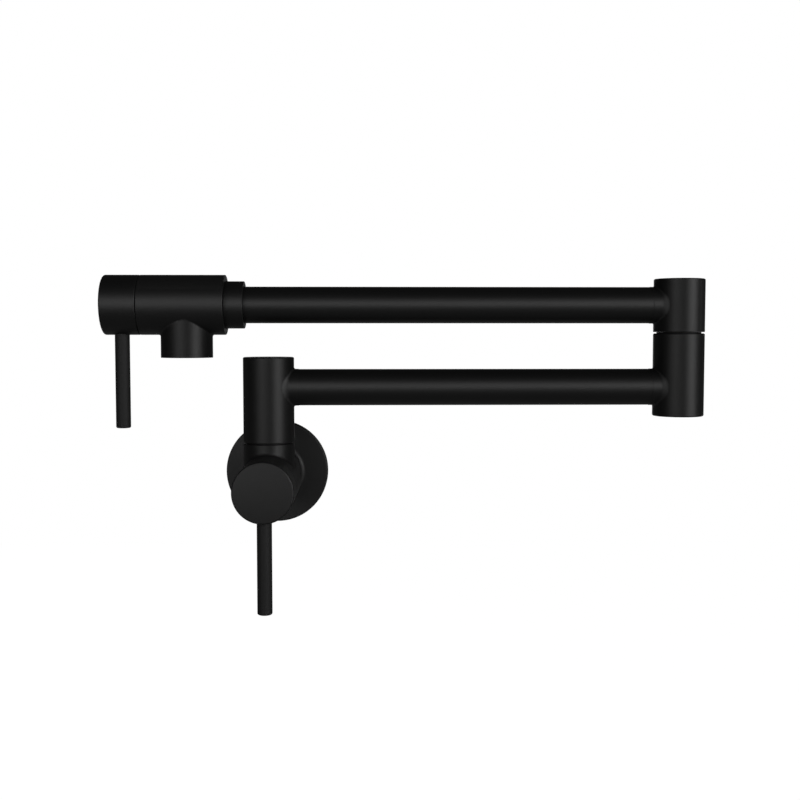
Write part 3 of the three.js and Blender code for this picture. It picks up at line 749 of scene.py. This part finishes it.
def thread_tree():
    """A ridge wound along a tube: a diamond swept on a helix, half of which stands out of the root."""
    tree, start, end = group_tree(
        "GeometryNodeTree",
        "thread ridge",
        [
            ("Root Radius", "NodeSocketFloat"),
            ("Pitch", "NodeSocketFloat"),
            ("Depth", "NodeSocketFloat"),
            ("Turns", "NodeSocketFloat"),
            ("Start", "NodeSocketFloat"),
            ("Steps", "NodeSocketInt"),
            ("Metal", "NodeSocketMaterial"),
        ],
        [("Geometry", "NodeSocketGeometry")],
    )
    helix = tree.nodes.new("GeometryNodeCurveSpiral")
    normals = tree.nodes.new("GeometryNodeSetCurveNormal")
    normals.mode = "Z_UP"
    profile = tree.nodes.new("GeometryNodeCurvePrimitiveQuadrilateral")
    profile.mode = "RECTANGLE"
    sweep = tree.nodes.new("GeometryNodeCurveToMesh")
    sweep.inputs["Fill Caps"].default_value = True
    lay = tree.nodes.new("GeometryNodeTransform")
    lay.inputs["Rotation"].default_value = (-math.pi / 2, 0, 0)
    realize = tree.nodes.new("GeometryNodeRealizeInstances")
    metal = tree.nodes.new("GeometryNodeSetMaterial")
    length = calculate(tree, "MULTIPLY", start.outputs["Pitch"], start.outputs["Turns"])
    side = calculate(tree, "MULTIPLY", start.outputs["Depth"], math.sqrt(2))
    spin = tree.nodes.new("GeometryNodeTransform")
    spin.inputs["Rotation"].default_value = (0, 0, math.pi / 4)
    squash = tree.nodes.new("GeometryNodeTransform")
    flatten = tree.nodes.new("ShaderNodeCombineXYZ")
    flatten.inputs["X"].default_value = 1
    flatten.inputs["Z"].default_value = 1
    half_pitch = calculate(tree, "DIVIDE", start.outputs["Pitch"], 2.0)
    place = tree.nodes.new("ShaderNodeCombineXYZ")
    link = tree.links.new
    link(start.outputs["Steps"], helix.inputs["Resolution"])
    link(start.outputs["Turns"], helix.inputs["Rotations"])
    link(start.outputs["Root Radius"], helix.inputs["Start Radius"])
    link(start.outputs["Root Radius"], helix.inputs["End Radius"])
    link(length, helix.inputs["Height"])
    link(helix.outputs["Curve"], normals.inputs["Curve"])
    link(side, profile.inputs["Width"])
    link(side, profile.inputs["Height"])
    link(profile.outputs["Curve"], spin.inputs["Geometry"])
    link(calculate(tree, "DIVIDE", half_pitch, start.outputs["Depth"]), flatten.inputs["Y"])
    link(spin.outputs["Geometry"], squash.inputs["Geometry"])
    link(flatten.outputs["Vector"], squash.inputs["Scale"])
    link(normals.outputs["Curve"], sweep.inputs["Curve"])
    link(squash.outputs["Geometry"], sweep.inputs["Profile Curve"])
    link(sweep.outputs["Mesh"], lay.inputs["Geometry"])
    link(start.outputs["Start"], place.inputs["Y"])
    link(place.outputs["Vector"], lay.inputs["Translation"])
    link(lay.outputs["Geometry"], realize.inputs["Geometry"])
    link(realize.outputs["Geometry"], metal.inputs["Geometry"])
    link(start.outputs["Metal"], metal.inputs["Material"])
    link(metal.outputs["Geometry"], end.inputs["Geometry"])
    return tree


def grown(name, tree, **values):
    """A plain mesh from a Geometry Nodes tree. The value root_radius sets its input Root Radius."""
    piece = placed(name, bpy.data.meshes.new(name))
    modifier = piece.modifiers.new("shape", "NODES")
    modifier.node_group = tree
    for item in tree.interface.items_tree:
        if item.in_out == "INPUT":
            modifier[item.identifier] = values[item.name.lower().replace(" ", "_")]
    baked(piece)
    piece.data.name = name
    shade(piece)
    return piece


dress_turned(flange(), "y", "wall_mount", "wall_flange")
dress(gasket(), "wall_mount", "rubber", black_rubber, "flange_gasket")
main_casing = coat(main_body(), "y")
coat_branch(main_casing, "z", column_axis, hub_r, NECK_FILLET, valve_r / 2)
dress(main_casing, "wall_mount", "matte_black", None, "main_valve_body")
dress(shank(), "wall_mount", "brass", raw_brass, "inlet_shank")
inlet_thread = grown(
    "inlet_thread",
    thread_tree(),
    root_radius=radius("inlet_shank", "x") - THREAD_DEPTH,
    pitch=THREAD_PITCH,
    depth=THREAD_DEPTH,
    turns=THREAD_TURNS,
    start=THREAD_START + THREAD_PITCH,
    steps=THREAD_STEPS,
    metal=raw_brass,
)
dress(inlet_thread, "wall_mount", "brass", None)
main_face, main_back = span("main_knob", "y")
main_knob = knob("main_knob_cap", "main_knob", "main_lever", "y", wall_axis, main_face, main_back)
dress_turned(main_knob, "y", "main_handle", "main_knob")
dress(lever("main_lever_rod", "main_lever"), "main_handle", "matte_black", black_dull, "main_lever")

# ------------------------------------------------------------------ hubs and arms

ARM_FILLET = 1.1 * MM
ARM_SIDE_FILLET = 9 * MM  # in front and behind, where a tube runs into its hub at a slant
ROOT_WALL = 0.15 * MM  # how far an arm's root stands proud of its tube
ROOT_GAP = 0.04 * MM
ROOT_REACH = 2.8 * MM  # where the root ends, out from its hub
RUNNING_GAP = 0.03 * MM
WATER_GROOVE = 1 * MM
GROOVE_HALF = 5.5 * MM
CAP_GAP = 0.06 * MM
CAP_WALL = 1.6 * MM
TUBE_WALL = 2 * MM
HEXAGON_R = 3.5 * MM
HEXAGON_DEPTH = 2.2 * MM
WAY_R = 5 * MM
HUB_CAPS = {"wall_column_hub": "wall_column_cap", "upper_elbow_hub": "upper_elbow_cap"}


def with_arm_root(hub, origin, arm_z, side, seat):
    """A hub with the filleted root of its arm, the seat of the arm's tube, and the water's way into it."""
    place = Vector((origin.x, origin.y, arm_z))
    root = branch(
        "root", place, UP, TO_ROOM, RIGHT * side, tube_r + ROOT_WALL, hub_r, hub_r + ROOT_REACH,
        ROOT_WALL / 2, ARM_FILLET, ARM_SIDE_FILLET,
    )
    outside = origin.x + side * (hub_r + OVERCUT)
    inside = origin.x + side * hub_r / 3
    socket = rod("socket", "x", place, tube_r + ROOT_GAP, min(seat, outside), max(seat, outside), SEGMENTS)
    low, high = sorted((inside, seat + side * OVERLAP))
    combined(hub, "UNION", root)
    return combined(hub, "DIFFERENCE", socket, rod("way", "x", place, WAY_R, low, high))


def turning_hub(name, node, post, origin, arm_z, side, seat):
    """A hub that turns on a post. Its bore is stepped for the water groove and the clip."""
    bottom, top = span(node, "z")
    cap = HUB_CAPS[node]
    cap_r = radius(cap, "x") + FIT
    shoulder = span(cap, "z")[0]
    bore = radius(post, "x") + FIT
    corners = [
        (bore, bottom, BREAK_EDGE),
        (hub_r, bottom, SEAM_ROUND),
        (hub_r, top, HUB_ROUND),
        (cap_r, top, 0),
        (cap_r, shoulder, 0),
        (bore, shoulder, 0),
        (bore, arm_z + GROOVE_HALF, 0),
        (bore + WATER_GROOVE, arm_z + GROOVE_HALF, 0),
        (bore + WATER_GROOVE, arm_z - GROOVE_HALF, 0),
        (bore, arm_z - GROOVE_HALF, 0),
    ]
    return with_arm_root(turned(name, "z", origin, corners), origin, arm_z, side, seat)


def hub_cap(name, node, origin):
    """The cup that closes a hub, flush with its top."""
    shoulder, top = span(node, "z")
    outer = radius(node, "x") + FIT - CAP_GAP
    corners = [
        (0, top - CAP_WALL, 0),
        (outer - CAP_WALL, top - CAP_WALL, 0),
        (outer - CAP_WALL, shoulder, 0),
        (outer, shoulder, 0),
        (outer, top, BREAK_EDGE / 2),
        (0, top, 0),
    ]
    return turned(name, "z", origin, corners)


def lower_elbow():
    bottom, top = span("lower_elbow_hub", "z")
    plug_top = span("lower_elbow_plug", "z")[1]
    plug_r = radius("lower_elbow_plug", "x") + FIT
    post_r = radius("elbow_post", "x")
    post_foot = span("elbow_post", "z")[0]
    riser_r = post_r - POST_WALL
    corners = [
        (plug_r, bottom, 0),
        (hub_r, bottom, HUB_ROUND),
        (hub_r, top, HUB_ROUND),
        (post_r + FIT, top, 0),
        (post_r + FIT, post_foot, 0),
        (riser_r, post_foot, 0),
        (riser_r, plug_top, 0),
        (plug_r, plug_top, 0),
    ]
    hub = turned("lower_elbow_casing", "z", elbow_axis, corners)
    return with_arm_root(hub, elbow_axis, lower_z, -1, span("lower_arm_tube", "x")[1])


def thrust_washer(name, node, hub_above):
    """The bearing ring between two hubs, which fills their gap but for a running clearance."""
    low = span(node, "z")[0]
    high = span(hub_above, "z")[0] - RUNNING_GAP
    bore = radius("wall_post", "x") + FIT
    outer = radius(node, "x")
    corners = [(bore, low, 0), (outer, low, BREAK_EDGE / 2), (outer, high, BREAK_EDGE / 2), (bore, high, 0)]
    return turned(name, "z", centre(node), corners)


def elbow_plug():
    """The screwed plug under the elbow, with its hexagon socket."""
    low, high = span("lower_elbow_plug", "z")
    outer = radius("lower_elbow_plug", "x") + FIT - CAP_GAP
    corners = [(0, low, 0), (outer, low, BREAK_EDGE), (outer, high, 0), (0, high, 0)]
    plug = turned("elbow_plug", "z", elbow_axis, corners)
    socket = rod("hexagon", "z", elbow_axis, HEXAGON_R, low - OVERCUT, low + HEXAGON_DEPTH, 6)
    return combined(plug, "DIFFERENCE", socket)


def arm_tube(name, node):
    low, high = span(node, "x")
    bore = tube_r - TUBE_WALL
    corners = [(bore, low, 0), (tube_r, low, BREAK_EDGE), (tube_r, high, BREAK_EDGE), (bore, high, 0)]
    return turned(name, "x", centre(node), corners)


def dress_hub(hub, body, node, origin, arm_z):
    coat(hub, "z")
    coat_branch(hub, "x", Vector((origin.x, origin.y, arm_z)), tube_r + ROOT_WALL, ARM_FILLET, hub_r / 2)
    dress(hub, body, "matte_black", None, node)


column = turning_hub(
    "wall_column_casing", "wall_column_hub", "wall_post", column_axis, lower_z, 1,
    span("lower_arm_tube", "x")[0],
)
dress_hub(column, "lower_arm", "wall_column_hub", column_axis, lower_z)
column_top = hub_cap("wall_column_top", "wall_column_cap", column_axis)
dress_turned(column_top, "z", "lower_arm", "wall_column_cap")
lower_pipe = arm_tube("lower_arm_pipe", "lower_arm_tube")
dress_turned(lower_pipe, "x", "lower_arm", "lower_arm_tube")
dress_hub(lower_elbow(), "lower_arm", "lower_elbow_hub", elbow_axis, lower_z)
dress(elbow_plug(), "lower_arm", "matte_black", black_plain, "lower_elbow_plug")
dress(
    thrust_washer("wall_thrust_ring", "wall_thrust_washer", "wall_column_hub"),
    "wall_mount", "plastic", acetal, "wall_thrust_washer",
)
dress(
    thrust_washer("elbow_thrust_ring", "elbow_thrust_washer", "upper_elbow_hub"),
    "lower_arm", "plastic", acetal, "elbow_thrust_washer",
)

upper_hub = turning_hub(
    "upper_elbow_casing", "upper_elbow_hub", "elbow_post", elbow_axis, upper_z, -1,
    span("upper_arm_tube", "x")[1],
)
dress_hub(upper_hub, "upper_arm", "upper_elbow_hub", elbow_axis, upper_z)
elbow_top = hub_cap("upper_elbow_top", "upper_elbow_cap", elbow_axis)
dress_turned(elbow_top, "z", "upper_arm", "upper_elbow_cap")
upper_pipe = arm_tube("upper_arm_pipe", "upper_arm_tube")
dress_turned(upper_pipe, "x", "upper_arm", "upper_arm_tube")

# ------------------------------------------------------------------ spout

spout_axis = Vector((spout_x, valve_y, upper_z))
OUTLET_R = 15.5 * MM
SPOUT_WAY_R = 8 * MM
SEAL_WIDTH = 2.5 * MM
AERATOR_LIP = 0.9 * MM
JETS = 8
JET_R = 1.1 * MM
JET_SEGMENTS = 32
JET_RING_R = 5.4 * MM
BEAD_R = 0.35 * MM
BEAD_SEGMENTS = 10


def collar():
    low, high = span("spout_collar", "x")
    outer = radius("spout_collar", "z")
    corners = [
        (tube_r + SOCKET_GAP, low, 0),
        (outer, low, BREAK_EDGE),
        (outer, high, SHOULDER_ROUND),
        (tube_r + SOCKET_GAP, high, BREAK_EDGE),
    ]
    return turned("spout_collar_ring", "x", spout_axis, corners)


def spout_body():
    """The spout's valve body with its bores, and the outlet that points down."""
    front, back = span("spout_valve_body", "x")
    mouth = span("spout_valve_body", "z")[0]
    nut_r = radius("spout_cartridge_nut", "z") + FIT
    chamber_r = radius("spout_cartridge_housing", "z") + FIT
    nut_back = span("spout_cartridge_nut", "x")[1]
    seat = span("spout_cartridge_seal", "x")[1]
    tube_end = span("upper_arm_tube", "x")[0]
    corners = [
        (tube_r + SOCKET_GAP, back, 0),
        (valve_r, back, SHOULDER_ROUND),
        (valve_r, front, SEAM_ROUND),
        (nut_r, front, BREAK_EDGE),
        (nut_r, nut_back, 0),
        (chamber_r, nut_back, 0),
        (chamber_r, seat, 0),
        (PASSAGE_R, seat, 0),
        (PASSAGE_R, tube_end, 0),
        (tube_r + SOCKET_GAP, tube_end, 0),
    ]
    body = turned("spout_valve_casing", "x", spout_axis, corners)
    outlet = branch("outlet", spout_axis, RIGHT, TO_ROOM, -UP, OUTLET_R, valve_r, upper_z - mouth, BREAK_EDGE)
    combined(body, "UNION", outlet)
    aerator_r = radius("aerator_washer", "x") + FIT
    bore = rod("bore", "z", spout_axis, aerator_r, mouth - OVERCUT, span("aerator_washer", "z")[1], SEGMENTS)
    way = rod("way", "z", spout_axis, SPOUT_WAY_R, mouth, upper_z)
    return combined(body, "DIFFERENCE", bore, way)


def aerator_shell():
    """The aerator's brass cup, with a lip under the insert and a chamfered mouth."""
    low, high = span("aerator_housing", "z")
    outer = radius("aerator_housing", "x")
    inner = radius("aerator_insert", "x") + FIT
    lip_top = span("aerator_insert", "z")[0]
    corners = [
        (inner - AERATOR_LIP, low, BREAK_EDGE),
        (outer, low, BREAK_EDGE),
        (outer, high, 0),
        (inner, high, 0),
        (inner, lip_top, 0),
        (inner - AERATOR_LIP, lip_top, 0),
    ]
    return turned("aerator_cup", "z", spout_axis, corners)


def aerator_disc():
    """The moulded insert, pierced by a ring of jets."""
    low, high = span("aerator_insert", "z")
    outer = radius("aerator_insert", "x")
    corners = [(0, low, 0), (outer, low, BREAK_EDGE), (outer, high, 0), (0, high, 0)]
    disc = turned("aerator_core", "z", spout_axis, corners)
    jets = []
    for k in range(JETS):
        middle = spout_axis + polar(JET_RING_R, 360 * k / JETS).to_3d()
        jets.append(rod("jet", "z", middle, JET_R, low - OVERCUT, high + OVERCUT, JET_SEGMENTS))
    return combined(disc, "DIFFERENCE", *jets)


def jet_rims_tree():
    """A raised rim round each jet: a ring swept once and set down on a circle of points."""
    tree, start, end = group_tree(
        "GeometryNodeTree",
        "jet rims",
        [
            ("Jets", "NodeSocketInt"),
            ("Ring Radius", "NodeSocketFloat"),
            ("Jet Radius", "NodeSocketFloat"),
            ("Bead Radius", "NodeSocketFloat"),
            ("Centre", "NodeSocketVector"),
            ("Plastic", "NodeSocketMaterial"),
        ],
        [("Geometry", "NodeSocketGeometry")],
    )
    spots = tree.nodes.new("GeometryNodeMeshCircle")
    ring = tree.nodes.new("GeometryNodeCurvePrimitiveCircle")
    ring.inputs["Resolution"].default_value = JET_SEGMENTS
    bead = tree.nodes.new("GeometryNodeCurvePrimitiveCircle")
    bead.inputs["Resolution"].default_value = BEAD_SEGMENTS
    rim = tree.nodes.new("GeometryNodeCurveToMesh")
    instances = tree.nodes.new("GeometryNodeInstanceOnPoints")
    lay = tree.nodes.new("GeometryNodeTransform")
    realize = tree.nodes.new("GeometryNodeRealizeInstances")
    plastic = tree.nodes.new("GeometryNodeSetMaterial")
    link = tree.links.new
    link(start.outputs["Jets"], spots.inputs["Vertices"])
    link(start.outputs["Ring Radius"], spots.inputs["Radius"])
    link(start.outputs["Jet Radius"], ring.inputs["Radius"])
    link(start.outputs["Bead Radius"], bead.inputs["Radius"])
    link(ring.outputs["Curve"], rim.inputs["Curve"])
    link(bead.outputs["Curve"], rim.inputs["Profile Curve"])
    link(spots.outputs["Mesh"], instances.inputs["Points"])
    link(rim.outputs["Mesh"], instances.inputs["Instance"])
    link(instances.outputs["Instances"], lay.inputs["Geometry"])
    link(start.outputs["Centre"], lay.inputs["Translation"])
    link(lay.outputs["Geometry"], realize.inputs["Geometry"])
    link(realize.outputs["Geometry"], plastic.inputs["Geometry"])
    link(start.outputs["Plastic"], plastic.inputs["Material"])
    link(plastic.outputs["Geometry"], end.inputs["Geometry"])
    return tree


def aerator_gasket():
    low, high = span("aerator_washer", "z")
    outer = radius("aerator_washer", "x")
    inner = outer - SEAL_WIDTH
    corners = [(r, t, BREAK_EDGE) for r, t in ((inner, low), (outer, low), (outer, high), (inner, high))]
    return turned("aerator_seal", "z", spout_axis, corners)


dress_turned(collar(), "x", "upper_arm", "spout_collar")
spout_casing = coat(spout_body(), "x")
coat_branch(spout_casing, "z", spout_axis, OUTLET_R, CAST_FILLET, valve_r / 2)
dress(spout_casing, "upper_arm", "matte_black", None, "spout_valve_body")
dress(aerator_shell(), "upper_arm", "brass", raw_brass, "aerator_housing")
dress(aerator_disc(), "upper_arm", "plastic", acetal, "aerator_insert")
jet_rims = grown(
    "aerator_jet_rims",
    jet_rims_tree(),
    jets=JETS,
    ring_radius=JET_RING_R,
    jet_radius=JET_R + BEAD_R,
    bead_radius=BEAD_R,
    centre=Vector((spout_x, valve_y, span("aerator_insert", "z")[0])),
    plastic=acetal,
)
dress(jet_rims, "upper_arm", "plastic", None)
dress(aerator_gasket(), "upper_arm", "rubber", black_rubber, "aerator_washer")
spout_face, spout_back = span("spout_knob", "x")
spout_knob = knob("spout_knob_cap", "spout_knob", "spout_lever", "x", spout_axis, spout_face, spout_back)
dress_turned(spout_knob, "x", "spout_handle", "spout_knob")
dress(lever("spout_lever_rod", "spout_lever"), "spout_handle", "matte_black", black_dull, "spout_lever")

# ------------------------------------------------------------------ camera, floor and light

CAMERA_PLACE = (0.06031, -0.73984, 0.09114)
CAMERA_YAW = -0.0286
CAMERA_PITCH = -0.0601
LENS = 50
SENSOR = 36

camera_data = bpy.data.cameras.new("camera")
camera_data.lens = LENS
camera_data.sensor_width = SENSOR
camera = placed("camera", camera_data)
camera.location = CAMERA_PLACE
camera.rotation_euler = (math.pi / 2 + CAMERA_PITCH, 0, CAMERA_YAW)
bpy.context.scene.camera = camera

FLOOR_Z = -1.2
FLOOR_HALF = 6.0
FLOOR_COLOUR = 0.6
FLOOR_ROUGHNESS = 0.9
FLOOR_SPECULAR = 0.1
FLOOR_GLOW = 0.88  # added where the camera sees the floor, so that it reads as white as the backdrop

BACKDROP_CONE = 8  # degrees round straight behind the object within which mirrors see the backdrop's white
BACKDROP_SOFT = 6  # degrees beyond the cone over which that white fades out
ROOM_GLOSSY = 0.025  # what mirrors see outside the cone
ROOM_DIFFUSE = 0.2  # how brightly the room lights the object

LAMP_SPREAD = 70
LAMP_TARGET = Vector((0.08, valve_y, 0.06))
SOFTBOXES = (
    # name, azimuth, lower and upper elevation, width, distance, strength
    ("right softbox", 47.5, -2, 25, 1.85, 2.6, 1.35),
    ("left softbox", -33, -2, 25, 0.8, 1.2, 0.39),
    ("front softbox", -14, -6, 28, 1.6, 2.0, 0.285),
)


def floor():
    """A pale floor well below the object. The camera sees it white, and the object's shadow stays on it."""
    bm = bmesh.new()
    bmesh.ops.create_grid(bm, x_segments=1, y_segments=1, size=FLOOR_HALF)
    mesh = bpy.data.meshes.new("floor")
    bm.to_mesh(mesh)
    bm.free()
    mesh.transform(Matrix.Translation((0, 0, FLOOR_Z)))
    plane = placed("floor", mesh)
    pale = bpy.data.materials.new("pale floor")
    pale.use_nodes = True
    tree = pale.node_tree
    shader = tree.nodes["Principled BSDF"]
    shader.inputs["Base Color"].default_value = grey(FLOOR_COLOUR)
    shader.inputs["Roughness"].default_value = FLOOR_ROUGHNESS
    shader.inputs["Specular IOR Level"].default_value = FLOOR_SPECULAR
    shader.inputs["Emission Color"].default_value = grey(1)
    path = tree.nodes.new("ShaderNodeLightPath")
    glow = calculate(tree, "MULTIPLY", path.outputs["Is Camera Ray"], FLOOR_GLOW)
    tree.links.new(glow, shader.inputs["Emission Strength"])
    mesh.materials.append(pale)


def softbox(name, azimuth, low, high, width, distance, strength):
    """A soft light at an azimuth from straight in front, spanning two elevations, in degrees."""
    turn = math.radians(azimuth)
    flat = Vector((math.sin(turn), -math.cos(turn), 0))
    bottom = distance * math.tan(math.radians(low))
    top = distance * math.tan(math.radians(high))
    height = top - bottom
    place = LAMP_TARGET + flat * distance + UP * (top + bottom) / 2
    data = bpy.data.lights.new(name, "AREA")
    data.shape = "RECTANGLE"
    data.size = width
    data.size_y = height
    data.energy = strength * math.pi * width * height
    data.spread = math.radians(LAMP_SPREAD)
    lamp = placed(name, data)
    lamp.location = place
    aim = Vector((LAMP_TARGET.x, LAMP_TARGET.y, place.z)) - place
    lamp.rotation_euler = aim.to_track_quat("-Z", "Y").to_euler()
    lamp.visible_camera = False


def studio_world():
    """White to the camera. Mirrors see the same white behind the object, and a dim room all round it."""
    world = bpy.data.worlds.new("studio")
    bpy.context.scene.world = world
    world.use_nodes = True
    tree = world.node_tree
    background = tree.nodes["Background"]
    path = tree.nodes.new("ShaderNodeLightPath")
    place = tree.nodes.new("ShaderNodeTexCoord")
    facing = tree.nodes.new("ShaderNodeVectorMath")
    facing.operation = "DOT_PRODUCT"
    facing.inputs[1].default_value = (0, 1, 0)
    tree.links.new(place.outputs["Generated"], facing.inputs[0])
    edge = tree.nodes.new("ShaderNodeMapRange")
    edge.inputs["From Min"].default_value = math.cos(math.radians(BACKDROP_CONE + BACKDROP_SOFT))
    edge.inputs["From Max"].default_value = math.cos(math.radians(BACKDROP_CONE))
    edge.inputs["To Min"].default_value = ROOM_GLOSSY
    tree.links.new(facing.outputs["Value"], edge.inputs["Value"])
    glossy, clear = path.outputs["Is Glossy Ray"], path.outputs["Is Transmission Ray"]
    mirrored = calculate(tree, "ADD", glossy, clear, clamp=True)
    lit = calculate(tree, "SUBTRACT", edge.outputs["Result"], ROOM_DIFFUSE)
    room = calculate(tree, "ADD", calculate(tree, "MULTIPLY", lit, mirrored), ROOM_DIFFUSE)
    white = calculate(tree, "SUBTRACT", 1.0, room)
    total = calculate(tree, "ADD", room, calculate(tree, "MULTIPLY", white, path.outputs["Is Camera Ray"]))
    tree.links.new(total, background.inputs["Strength"])
    background.inputs["Color"].default_value = grey(1)


floor()
for box in SOFTBOXES:
    softbox(*box)
studio_world()

bpy.context.scene.view_settings.view_transform = "Standard"
